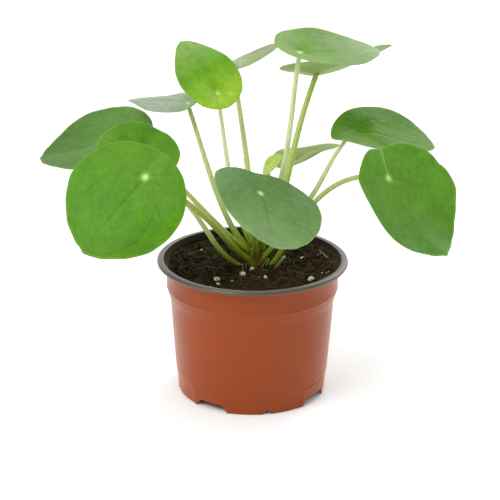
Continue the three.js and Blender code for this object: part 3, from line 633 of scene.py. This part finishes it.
class PILEA_OT_peat(bpy.types.Operator):
    """Fills the pot with peat, its crumbs, fibres and white grit"""

    bl_idname = "pilea.peat"
    bl_label = "Peat"

    def execute(self, context):
        settings = context.scene.pilea_peat
        random = np.random.default_rng(settings.seed)
        dark = peat_material("moist_peat", settings, 1.0)
        self.bed(dark)
        self.crumbs(random, settings.crumbs, dark)
        self.fibres(random, settings)
        self.strands()
        self.grit(random)
        return {"FINISHED"}

    def bed(self, material):
        """The bed: top rings out to the wall, further where the peat is heaped against it, then
        down its side to the floor."""
        angle = all_round(300)
        heap = np.clip(np.cos(angle + 0.25), 0, 1) ** 2
        radius = np.linspace(0, 1, 91)[1:, None] * (PEAT_RADIUS + 0.6 + 1.1 * heap)
        top = on_peat(radius * np.cos(angle), radius * np.sin(angle))
        section = np.array([(52, 75), (51, 66), (49.6, 61), (45.6, 12), (45, PEAT_FOOT)])
        side = around(section[:, :1], angle, section[:, 1:])
        middle = on_peat(np.zeros(1), np.zeros(1))
        points, faces = closed_skin(np.vstack([top, side]), middle, (0, 0, PEAT_FOOT))
        piece = make_piece("peat_bed", points, faces, [material])
        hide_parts("soil")

    def crumbs(self, random, count, material):
        """Loose crumbs: one small ball, stretched, turned and dented differently each time."""
        x, y = scattered(random, count)
        shape, faces = ball(3, 6)
        size = 0.35 + 1.1 * random.random((len(x), 1, 1)) ** 3
        stretch = 0.6 + 0.9 * random.random((len(x), 1, 3))
        dents = 1 + 0.35 * (random.random((len(x), len(shape), 1)) - 0.5)
        turned = turned_about(TURN * random.random(len(x)))
        points = np.einsum("nij,nkj->nki", turned, shape * dents * size * stretch)
        points += on_peat(x, y, 0.2)[:, None]
        piece = make_piece("peat_crumbs", *many_of(points, faces), [material])

    def fibres(self, random, settings):
        """Dry fibres: thin tubes on short bent curves that lie on the bed."""
        material = peat_material("dry_peat_fibre", settings, 3.0)
        x, y = scattered(random, settings.fibres)
        count = len(x)
        along = np.linspace(-0.5, 0.5, 7)
        length = 3 + 9 * random.random((count, 1)) ** 2
        bow = (random.random((count, 1)) - 0.5) * 0.8
        line = np.stack([along * length, bow * length * (0.25 - along ** 2),
                         0.2 + (random.random((count, 1)) - 0.3) * (0.25 - along ** 2) * 3], -1)
        line = np.einsum("nij,nkj->nki", turned_about(TURN * random.random(count)), line)
        line[..., 0] += x[:, None]
        line[..., 1] += y[:, None]
        line[..., 2] += peat_height(line[..., 0], line[..., 1])
        thick = 0.12 + 0.12 * random.random((count, 1, 1, 1))
        angle = all_round(4)
        ring = np.stack([np.zeros(4), np.cos(angle), np.sin(angle)], -1)
        heading = np.arctan2(line[:, -1, 1] - line[:, 0, 1], line[:, -1, 0] - line[:, 0, 0])
        ring = np.einsum("nij,kj->nki", turned_about(heading), ring)
        grid = line[:, :, None] + thick * ring[:, None]
        _, faces = closed_skin(grid[0], line[0, 0], line[0, -1])
        points = np.concatenate([line[:, :1], grid.reshape(count, -1, 3), line[:, -1:]], 1)
        faces = [face[::-1] for face in faces]
        piece = make_piece("peat_fibres", *many_of(points, faces), [material])

    def strands(self):
        """Roots, a straw and a curled bud on the peat: round tubes that thin out at both ends,
        along curves given from above, each raised over the bed in a low arch."""
        share = np.linspace(0, 1, 40)
        for name, radius, arch, color, points in STRANDS:
            line = bezier([(*point, 0) for point in points], share)
            bow = arch * share * (1 - share) * 4
            line[:, 2] = smoothed(peat_height(line[:, 0], line[:, 1]) + radius + bow)
            thick = radius * (0.35 + 0.65 * np.sqrt(np.sin(math.pi * (0.03 + 0.94 * share))))
            skin = strand_material(f"{name}_skin", linear(color))
            piece = make_piece(name, *tube(line, thick, 10, 0.05), [skin])

    def grit(self, random):
        """White grains: the larger ones in their places, and a scatter of small ones."""
        x, y = scattered(random, 22)
        small = [(a, b, 0.18 + 0.3 * c) for a, b, c in zip(x, y, random.random(len(x)))]
        shape, faces = ball(9, 14)
        place = np.array(PRILLS + small)
        lumps = 1 + 0.16 * soft_noise(shape * 1.3 + place[:, None] * 7, 0.9, 21)[..., None]
        centre = on_peat(place[:, 0], place[:, 1], 0.35 * place[:, 2])
        points = centre[:, None] + shape * lumps * place[:, None, 2:] * (1, 0.9, 0.85)
        piece = make_piece("white_grit", *many_of(points, faces), [prill_material()])


# ---- Stem and stalks


def stalk_material(name, base, top, pale=USUAL_LEAF["pale"]):
    """Fresh petiole: a smooth, juicy skin, green at the stem, pale from a share of its length on
    and yellow green just under the blade, with faint lengthwise streaks and a moist shine."""
    material, tree, place = new_material(name)
    part = parts_of(tree, "along")
    long = add(tree, "Mapping", {"Vector": place, "Scale": (1, 1, 0.12)})
    streak = add(tree, "TexNoise", {"Vector": long, "Scale": 1400, "Detail": 2})
    blend = add(tree, "MapRange", {0: part, 1: 0.05, 2: pale}, interpolation_type="SMOOTHSTEP")
    stem = add(tree, "Mix", {0: blend, 6: base, 7: top}, data_type="RGBA")
    neck = add(tree, "MapRange", {0: part, 1: 0.84, 2: 1.0, 4: 0.6})
    skin = add(tree, "Mix", {0: neck, 6: stem, 7: linear("#9dba48")}, data_type="RGBA")
    color = varied(tree, skin, streak, 0.3, 0.7, 0.82, 1.1)
    return finish_material(material, color, 0.42, streak, 0.15, 0.0003, IOR=1.42,
                           Specular_IOR_Level=0.35)


def bark_material(name, dark, light):
    """Corky young bark and dry papery scales: brown with a thread of green, matt and fibrous."""
    material, tree, place = new_material(name)
    long = add(tree, "Mapping", {"Vector": place, "Scale": (1, 1, 0.3)})
    fibre = add(tree, "TexNoise", {"Vector": long, "Scale": 700, "Detail": 5})
    rise = add(tree, "MapRange", {0: fibre, 1: 0.35, 2: 0.65})
    color = add(tree, "Mix", {0: rise, 6: linear(dark), 7: linear(light)}, data_type="RGBA")
    return finish_material(material, color, 0.7, fibre, 0.5, 0.0006, Specular_IOR_Level=0.15)


def on_stem(turn, distance, height):
    """A point at a direction, a distance from the stem's axis and a height."""
    angle = math.radians(turn)
    x, y = STEM_AT
    return x + distance * math.cos(angle), y + distance * math.sin(angle), height


# The stem's top, the level where its dome starts, its foot in the peat and its radius.
STEM_TOP, STEM_DOME, STEM_FOOT, STEM_RADIUS = 93, 88.5, 64, 3.9

# Scales on the stem: direction, level of the foot, half width, height and lean of the tip.
SCALES = (
    (214, 87, 2.1, 13, 0.8), (236, 78.5, 1.2, 8, 0.5), (262, 77, 1.0, 6, 0.2), (60, 82, 1.4, 9, 1),
    (20, 84, 1.2, 8, 1), (130, 80, 1.4, 8, 0.6), (160, 84, 1.2, 8, 0.6), (100, 84, 1.5, 8, 1))
LEAF_BASES = ((306, 78, 3.1, 17, 0.8), (338, 77, 2.6, 12, 1.4), (194, 79, 2.2, 11, 0.6))


class PILEA_OT_stem(bpy.types.Operator):
    """Grows the short main stem, its dry scales and the stub of a cut stalk"""

    bl_idname = "pilea.stem"
    bl_label = "Stem"

    def execute(self, context):
        self.trunk(bark_material("young_green_bark", "#46560d", "#7c9420"))
        self.scales("stem_scales", SCALES, bark_material("dry_scale", "#6a4a16", "#9a8440"))
        self.scales("leaf_bases", LEAF_BASES, bark_material("leaf_base", "#7f4f22", "#8f7a2c"))
        self.stub()
        return {"FINISHED"}

    def trunk(self, material):
        """A lathed stem whose radius swells at the old leaf scars, with a noisy bark."""
        angle = all_round(40)
        height = np.linspace(STEM_TOP, STEM_FOOT, 60)[:, None]
        dome = np.sqrt(np.clip(1 - ((height - STEM_DOME) / 4.6).clip(0, 1) ** 2, 0.02, 1))
        radius = (STEM_RADIUS + 0.2 * np.cos(height * 1.9)) * dome
        bark = 1 + 0.06 * soft_noise(around(radius, angle, height), 1.6, 31)
        grid = around(radius * bark, angle, height) + (*STEM_AT, 0)
        points, faces = closed_skin(grid, (*STEM_AT, STEM_TOP + 0.1), (*STEM_AT, STEM_FOOT - 0.1))
        piece = make_piece("stem_core", points, faces, [material])
        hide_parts("main_stem")

    def scales(self, name, sizes, material):
        """Pointed papery forms that clasp the stem and bend out at the tip. Each is a flat closed
        skin: its half width is a bow over its height, and it is rolled round the stem."""
        way = np.linspace(0.02, 0.98, 16)[:, None]
        angle = all_round(16)
        half = (1 - way) ** 0.7 * way ** 0.2
        flat = np.stack([0.2 * np.sin(angle) + 0 * way, half * np.cos(angle), way + 0 * angle], -1)
        points, faces = closed_skin(flat[::-1], (0, 0, 1), (0, 0, 0))
        copies = []
        for turn, level, wide, tall, lean in sizes:
            piece = points * (1, wide, tall)
            piece[:, 0] += lean * (piece[:, 2] / tall) ** 2 - 0.12 * piece[:, 1] ** 2
            spun = turned_about(np.radians([turn]))[0]
            copies.append(piece @ spun.T + on_stem(turn, 4.3, level))
        piece = make_piece(name, *many_of(np.array(copies), faces), [material])

    def stub(self):
        """The stub: a short tube that ends in a flat pale cut."""
        share = np.linspace(0, 1, 24)
        curve = bezier(((12.5, 8.5, 75), (14.5, 4, 78), (17, 0, 82.5), (20, -3.5, 89)), share)
        radius = np.full(24, 1.0)
        radius[-1] = 0.85
        points, faces = tube(curve, radius, 16)
        tone = stalk_material("cut_stalk_skin", linear("#6d7338"), linear("#9a9a62"))
        fields = {"along": np.repeat(np.linspace(1, 0, len(points)), 3).reshape(-1, 3)}
        piece = make_piece("stub_of_stalk", points, faces, [tone], fields)
        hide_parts("cut_stalk")


def blade_matrix(leaf):
    """The blade's rotation: roll about the midrib, then dip, then turn."""
    turn, dip, roll = (Matrix.Rotation(math.radians(leaf[key]), 3, axis)
                       for key, axis in (("turn", "Z"), ("dip", "Y"), ("roll", "X")))
    return np.array(turn @ dip @ roll)


def cut_to_blade(points, curve, normal):
    """Slides the points of a tube's last rows along the tube until each row lies in a plane
    parallel to the blade, fully at the end and less with the square of the way back."""
    rows = points[1:-1].reshape(len(curve), -1, 3)
    tangent, centre = frames_along(curve)[0][::-1], curve[::-1, None]
    slant = tangent @ normal
    slant = np.where(slant < 0, -1, 1) * np.maximum(np.abs(slant), 0.35)
    weight = np.clip(1 - np.arange(len(curve)) / 8, 0, 1) ** 2
    slide = weight[:, None] * ((rows - centre) @ normal) / slant[:, None]
    rows = rows - slide[..., None] * tangent[:, None]
    return np.vstack([points[:1], rows.reshape(-1, 3), points[-1:]])


# How far under the blade's middle a stalk ends in millimetres, and as shares of its radius its
# thickness near the stem, the extra at its foot, what it loses on the way and its flare under the
# blade.
SEAT_GAP = 0.2
STALK_LOW, STALK_FOOT, STALK_TAPER, STALK_FLARE = 1.24, 0.1, 0.34, 0.12


class PILEA_OT_stalks(bpy.types.Operator):
    """Draws every leaf stalk from the stem to its seat under the blade"""

    bl_idname = "pilea.stalks"
    bl_label = "Stalks"

    def execute(self, context):
        settings = context.scene.pilea_stalk
        base = color_of(settings.base_color)
        share = np.linspace(0, 1, settings.steps)
        for name, leaf in LEAVES.items():
            normal = blade_matrix(leaf)[:, 2]
            end = np.array(leaf["at"]) - normal * SEAT_GAP
            curve = bezier((on_stem(*leaf["start"]), *leaf["by"], end), share)
            flare = STALK_FLARE * np.exp(-((1 - share) * 60) ** 1.5 / 3)
            thick = STALK_LOW + STALK_FOOT * np.exp(-12 * share) - STALK_TAPER * share ** 2
            radius = leaf["stalk"] * (thick + flare)
            points, faces = tube(curve, radius, settings.sides, 0.02)
            points = cut_to_blade(points, curve, normal)
            row = np.concatenate([[1], np.repeat(share[::-1], settings.sides), [0]])
            top = linear(leaf["stalk_tone"])
            skin = stalk_material(f"{name}_petiole_skin", base, top, leaf["pale"])
            fields = {"along": np.repeat(row, 3).reshape(-1, 3)}
            piece = make_piece(f"{name}_stalk", points, faces, [skin], fields)
            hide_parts(f"leaf_{name}_stalk")
        return {"FINISHED"}


# ---- Blades


def rim_points(leaf, angle):
    """The blade's outline by the angle from its tip: x = length * (cos / 2 + 1/2 - seat), and
    y = half the width * sin, narrowed towards the tip and cut in at the base. A short bell
    curve round the tip draws it out to a drip tip."""
    along, across = np.cos(angle), np.sin(angle)
    narrowing = 1 - leaf["point"] * ((1 + along) / 2) ** 4
    widening = 1 - leaf["taper"] * along
    from_base = (angle - math.pi) / 0.18
    from_tip = (np.abs(angle - math.pi) - math.pi) / 0.08
    x = leaf["length"] * (0.5 - leaf["seat"] + along / 2) + leaf["notch"] * np.exp(-from_base ** 2)
    x = x + leaf["drip"] * leaf["length"] * np.exp(-from_tip ** 2)
    y = leaf["width"] / 2 * (across * narrowing * widening + leaf["skew"] * across ** 2)
    return x, y


def blade_height(leaf, x, y):
    """Height of the blade over its own plane: a funnel at the seat, then droop, arch and twist
    as squares and a product of x and y, the rise of both halves, a curled edge and a ripple."""
    length, width = leaf["length"], leaf["width"]
    spread = x * x + y * y
    halves = np.hypot(y, 2) - 2
    behind = np.clip(-x / (leaf["seat"] * length), 0, 1)
    edge = np.clip((-y / (width / 2) - 0.4) / 0.6, 0, 1)
    ripple = np.sin(5 * np.arctan2(y, x) + length)
    height = leaf["dimple"] * (1 - np.exp(-spread / (0.12 * length) ** 2))
    height -= (leaf["droop"] * x * x + leaf["arch"] * y * y - leaf["twist"] * x * y) / length
    height += leaf["fold"] * halves + leaf["crease"] * behind * halves
    return height + leaf["curl"] * edge ** 2 + leaf["wave"] * ripple * spread / (length / 2) ** 2


# How far the side veins bow out and what share of the way to the tip they reach, and the
# directions of the base veins.
VEIN_BOW, VEIN_REACH = 0.64, 0.97
BASE_VEINS = np.radians(np.array((-144, -108, -75, 75, 108, 144)))


def vein_distances(leaf, x, y):
    """Distances in millimetres from the veins. Middle vein: across it, or from the seat behind
    it. Side veins: from the ellipse through the seat and the tip, signed. Base veins: from six
    rays behind the seat."""
    reach = VEIN_REACH * (leaf["length"] * (1 - leaf["seat"]))
    bow = VEIN_BOW * (leaf["width"] / leaf["length"]) ** 2
    radius, angle = np.hypot(x, y), np.arctan2(y, x)
    middle = np.where(x > 0, np.abs(y), radius)
    steep = np.hypot(2 * y, bow * (reach - 2 * x))
    side = (y * y - bow * x * (reach - x)) / (steep + 1e-6)
    turn = angle[..., None] - BASE_VEINS + 0.25 * np.sin(radius / leaf["length"] * 5)[..., None]
    ray = np.where(np.cos(turn) > 0, np.abs(np.sin(turn)), 1).min(-1) * radius
    return np.stack([middle, side, ray], -1)


def blade_top_material(name, leaf, settings):
    """Pilea leaf, upper face: a leathery, waxy skin with a broad soft shine. Veins sit in shallow
    grooves a little darker than the skin, the seat shows as a pale spot and the rim as a thin
    pale line. The mottling is a centimetre wide, its freckles and the net of small veins a few
    millimetres and the cell texture about a millimetre."""
    material, tree, place = new_material(name)
    base, centre, tip = (linear(leaf[key]) for key in ("tone", "mid_tone", "tip_tone"))
    vein, zone = (parts_of(tree, field) for field in ("veins", "zones"))
    patchy, cloud, freckle, coarse, fine = (
        add(tree, "TexNoise", {"Vector": place, "Scale": scale, "Detail": detail})
        for scale, detail in ((75, 2), (90, 3), (280, 3), (320, 3), (1500, 2)))
    patches, cells = (
        add(tree, "TexVoronoi", {"Vector": place, "Scale": scale}, feature="DISTANCE_TO_EDGE")
        for scale in (120, 700))

    wide, along = settings.vein_width, zone.outputs[2]
    fading = add(tree, "MapRange", {0: along, 1: 0.2, 2: 0.9, 3: 1.0, 4: 0.25})
    faint = add(tree, "MapRange", {0: patchy, 1: 0.4, 2: 0.62, 3: 0.12, 4: 0.75})
    beside = add(tree, "Math", {0: vein.outputs[1]}, operation="ABSOLUTE")
    widths = ((vein, wide, fading), (beside, wide * 0.9, faint),
              (vein.outputs[2], wide * 0.8, faint))
    middle, side, ray = (
        add(tree, "MapRange", {0: away, 2: width, 3: strength, 4: 0.0},
            interpolation_type="SMOOTHSTEP")
        for away, width, strength in widths)
    strong = add(tree, "Math", {0: middle, 1: side}, operation="MAXIMUM")
    lines = add(tree, "Math", {0: strong, 1: ray}, operation="MAXIMUM")
    groove = add(tree, "Math", {0: lines, 1: 0.55}, operation="MULTIPLY")

    # The ramp from tone through mid_tone to tip_tone is the leaf's green with painted sheen and
    # painted shade in it.
    color = base
    for low, high, tone in ((0.05, 0.5, centre), (0.5, 0.95, tip)):
        part = add(tree, "MapRange", {0: along, 1: low, 2: high})
        color = add(tree, "Mix", {0: part, 6: color, 7: tone}, data_type="RGBA")
    for field, low, high, least, most in (
            (cloud, 0.3, 0.7, 0.88, 1.08), (freckle, 0.35, 0.65, 0.93, 1.09),
            (cells, 0.0, 0.12, 0.93, 1.0)):
        color = varied(tree, color, field, low, high, least, most)
    color = varied(tree, color, patches, 0.0, 0.05, 0.93, 1.0, interpolation_type="SMOOTHSTEP")
    for part, tone in ((groove, color_of(base, 0.55)), (zone, color_of(settings.seat_color)),
                       (zone.outputs[1], color_of(settings.rim_color))):
        color = add(tree, "Mix", {0: part, 6: color, 7: tone}, data_type="RGBA")

    dip = add(tree, "Math", {0: lines, 1: -0.6}, operation="MULTIPLY")
    grain = add(tree, "Math", {0: fine, 1: 0.2, 2: dip}, operation="MULTIPLY_ADD")
    relief = add(tree, "Math", {0: coarse, 1: 1.0, 2: grain}, operation="MULTIPLY_ADD")
    rough = add(tree, "MapRange", {0: cloud, 3: 0.4, 4: 0.52})
    return finish_material(material, color, rough, relief, 0.5, 0.0006, IOR=1.45,
                           Specular_IOR_Level=0.2)


def blade_under_material(name, leaf):
    """Pilea leaf, lower face: pale and greyish with a matt bloom, its veins raised and paler."""
    material, tree, place = new_material(name)
    vein = parts_of(tree, "veins")
    middle = add(tree, "MapRange", {0: vein, 2: 0.8, 3: 0.7, 4: 0.0},
                 interpolation_type="SMOOTHSTEP")
    cloud = add(tree, "TexNoise", {"Vector": place, "Scale": 110, "Detail": 3})
    skin = varied(tree, linear(leaf["under"]), cloud, 0.3, 0.7, 0.9, 1.08)
    color = add(tree, "Mix", {0: middle, 6: skin, 7: linear("#c5d3a8")}, data_type="RGBA")
    return finish_material(material, color, 0.6, middle, 0.4, 0.0004, IOR=1.4,
                           Specular_IOR_Level=0.25)


# How much thinner a blade is at its rim, and the depth and half width of the grooves along the
# middle vein and the side veins.
RIM_THINNING = 0.45
GROOVES = ((0.16, 1.3), (0.1, 1.2))

# Where the pale rim starts on the way out, how wide it blends in and how strong it is, the size
# of the seat's spot as a share of the length, and how far along the blade the seat counts.
RIM_START, RIM_BLEND, RIM_STRENGTH = 0.982, 0.015, 0.3
SPOT_SIZE = 0.027
SEAT_ALONG = 0.17


class PILEA_OT_blades(bpy.types.Operator):
    """Shapes every leaf blade with its veins, seat spot, rim and waxy skin"""

    bl_idname = "pilea.blades"
    bl_label = "Blades"

    def execute(self, context):
        settings = context.scene.pilea_leaf
        for name, leaf in LEAVES.items():
            self.blade(name, leaf, settings)
        return {"FINISHED"}

    def blade(self, name, leaf, settings):
        """A closed skin: rings out over the top, round the rim as a half circle, and back under.
        Height = blade height + half the thickness, which thins at the rim, with a slight swell of
        noise, less a shallow groove along each vein. Two sines make the rim a little uneven."""
        rings, sides = settings.rings, settings.sides
        out = np.linspace(0, 1, rings + 1)[1:]
        bend = np.linspace(math.pi / 2, -math.pi / 2, 7)[1:-1]
        share = np.concatenate([out, np.ones(5), out[::-1]])[:, None]
        half = settings.thickness / 2
        thin = half * (1 - RIM_THINNING * out ** 12)
        edge = thin[-1]
        lift = np.concatenate([thin, edge * np.sin(bend), -thin[::-1]])
        beyond = np.concatenate([np.zeros(rings), edge * np.cos(bend), np.zeros(rings)])[:, None]
        angle = all_round(sides)
        rim_x, rim_y = rim_points(leaf, angle)
        outward = np.hypot(rim_x, rim_y)
        uneven = 1 + 0.004 * np.sin(7 * angle + leaf["width"]) + 0.003 * np.sin(17 * angle)
        x = share * rim_x * uneven + beyond * rim_x / outward
        y = share * rim_y * uneven + beyond * rim_y / outward
        veins = vein_distances(leaf, x, y)
        groove = sum(depth * np.exp(-(veins[..., number] / wide) ** 2)
                     for number, (depth, wide) in enumerate(GROOVES))
        groove *= np.clip(4 * (1 - share), 0, 1)
        flat = np.stack([x, y, np.zeros_like(x)], -1)
        seed = len(name) + leaf["length"]
        swell = 0.5 * soft_noise(flat, 14, seed) * np.clip(np.hypot(x, y) / 12, 0, 1)
        swell += 0.1 * soft_noise(flat, 5, seed + 1) + 0.04 * soft_noise(flat, 2.3, seed + 2)
        z = blade_height(leaf, x, y) + lift[:, None] + swell - groove
        points, faces = closed_skin(np.stack([x, y, z], -1), (0, 0, half), (0, 0, -half))
        points = points @ blade_matrix(leaf).T + np.array(leaf["at"])

        radius = np.hypot(x, y)
        spot = leaf["spot"] * np.exp(-(radius / (SPOT_SIZE * leaf["length"])) ** 2)
        spot += 0.8 * leaf["crease"] * np.exp(-(y / 0.5) ** 2) * (x < 0)
        rim = RIM_STRENGTH * np.clip((share - RIM_START) / RIM_BLEND, 0, 1) + 0 * x
        tip = leaf["length"] * (1 - leaf["seat"])
        along = np.clip((x + 0.2 * tip) / (1.2 * tip), 0, 1)
        zones = np.stack([spot, rim, along], -1).reshape(-1, 3)
        fields = {
            "veins": np.vstack([(0, 0, 0), veins.reshape(-1, 3), (0, 0, 0)]),
            "zones": np.vstack([(leaf["spot"], 0, SEAT_ALONG), zones, (0, 0, SEAT_ALONG)])}
        upper = (rings + 2) * sides
        quads = (len(share) - 1) * sides
        slots = np.zeros(len(faces), int)
        slots[upper:quads] = 1
        slots[quads + sides:] = 1
        skins = [
            blade_top_material(f"{name}_waxy_skin", leaf, settings),
            blade_under_material(f"{name}_underside", leaf)]
        piece = make_piece(f"{name}_blade", points, faces, skins, fields, slots)
        node = f"leaf_{name}_blade"
        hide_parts(node)


# ---- Stage

# Half the width of the floor in metres.
FLOOR_HALF = 20


def area_light(name, place, aim, size, power):
    """A square soft box that faces a point."""
    data = bpy.data.lights.new(name, "AREA")
    data.size = size
    data.energy = power
    back = (place - aim) / np.linalg.norm(place - aim)
    right = np.cross((0, 0, 1), back)
    right /= np.linalg.norm(right)
    axes = np.stack([right, np.cross(back, right), back], 1)
    put(name, data).matrix_world = Matrix.Translation(place) @ Matrix(axes.tolist()).to_4x4()


class PILEA_OT_stage(bpy.types.Operator):
    """Sets the pale floor, the soft studio light and the camera"""

    bl_idname = "pilea.stage"
    bl_label = "Stage"

    def execute(self, context):
        settings = context.scene.pilea_stage
        self.floor()
        self.light(context.scene)
        self.camera(context.scene, settings)
        return {"FINISHED"}

    def floor(self):
        """A wide pale floor with a slight glow of its own, but none in a disc under the pot, which
        leaves a painted shadow there.
        """
        material, tree, place = new_material("pale_floor")
        away = add(tree, "VectorMath", {0: place, 1: tuple(AXIS)}, operation="DISTANCE")
        # The glow stops within a disc under the pot: a painted shadow.
        glow_outside_shadow_disc = add(tree, "MapRange", {0: away, 1: 0.042, 2: 0.05})
        shader = add(tree, "BsdfPrincipled",
                     {"Base Color": (0.83, 0.85, 0.865, 1), "Roughness": 0.9,
                      "Emission Color": glow_outside_shadow_disc, "Emission Strength": 0.175})
        add(tree, "OutputMaterial", {"Surface": shader})
        mesh = bpy.data.meshes.new("floor")
        low, high = -FLOOR_HALF, FLOOR_HALF
        corners = [(low, low, 0), (high, low, 0), (high, high, 0), (low, high, 0)]
        mesh.from_pydata(corners, [], [(0, 1, 2, 3)])
        mesh.materials.append(material)
        floor = put("floor", mesh)

    def light(self, scene):
        """A white surround that dims towards the front, a large soft box from the upper left and
        a weaker one from behind."""
        world = bpy.data.worlds.new("studio_surround")
        world.use_nodes = True
        tree = world.node_tree
        tree.nodes.clear()
        way = add(tree, "TexCoord").outputs["Generated"]
        axes = add(tree, "SeparateXYZ", {0: way})
        dim = add(tree, "MapRange", {0: axes.outputs[1], 1: -0.9, 2: 0.1, 3: 0.3, 4: 1.15},
                  interpolation_type="SMOOTHSTEP")
        glow = add(tree, "Background", {"Color": (1, 1, 1, 1), "Strength": dim})
        add(tree, "OutputWorld", {"Surface": glow})
        scene.world = world
        aim = AXIS + (0, 0, 0.13)
        area_light("key_soft_box", (-0.9, -0.9, 1.5), aim, 1.0, 20)
        area_light("back_soft_box", (0.7, 1.2, 1.2), aim, 1.0, 9)
        scene.view_settings.view_transform = "Standard"

    def camera(self, scene, settings):
        """In front of the pot's axis, looking down at it by the pitch."""
        data = bpy.data.cameras.new("camera")
        data.sensor_width = 36
        data.lens = settings.lens
        camera = put("camera", data)
        place = Matrix.Translation(AXIS + (0, -settings.distance, settings.height))
        heading = Matrix.Rotation(settings.heading, 4, "Z")
        tilt = Matrix.Rotation(math.pi / 2 - settings.pitch, 4, "X")
        camera.matrix_world = place @ heading @ tilt @ Matrix.Rotation(settings.roll, 4, "Z")
        scene.camera = camera


OPERATORS = (PILEA_OT_pot, PILEA_OT_peat, PILEA_OT_stem, PILEA_OT_stalks, PILEA_OT_blades,
             PILEA_OT_stage)


class PILEA_PT_panel(bpy.types.Panel):
    """A button for every operator, and the settings of every piece"""

    bl_label = "Potted Pilea"
    bl_idname = "PILEA_PT_panel"
    bl_space_type = "VIEW_3D"
    bl_region_type = "UI"
    bl_category = "Pilea"

    def draw(self, context):
        for operator in OPERATORS:
            self.layout.operator(operator.bl_idname)
        for key, group in SETTINGS.items():
            box = self.layout.box()
            for name in group.__annotations__:
                box.prop(getattr(context.scene, key), name)


def register():
    """Registers the classes and gives the scene its settings."""
    for cls in (*SETTINGS.values(), *OPERATORS, PILEA_PT_panel):
        bpy.utils.register_class(cls)
    for key, group in SETTINGS.items():
        setattr(bpy.types.Scene, key, PointerProperty(type=group))


def unregister():
    """Takes the settings and the classes away again, in the opposite order."""
    for key in SETTINGS:
        delattr(bpy.types.Scene, key)
    for cls in (PILEA_PT_panel, *reversed(OPERATORS), *reversed(SETTINGS.values())):
        bpy.utils.unregister_class(cls)


def main():
    """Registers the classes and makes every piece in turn."""
    register()
    for operator in OPERATORS:
        group, name = operator.bl_idname.split(".")
        getattr(getattr(bpy.ops, group), name)()


if __name__ == "__main__":
    main()
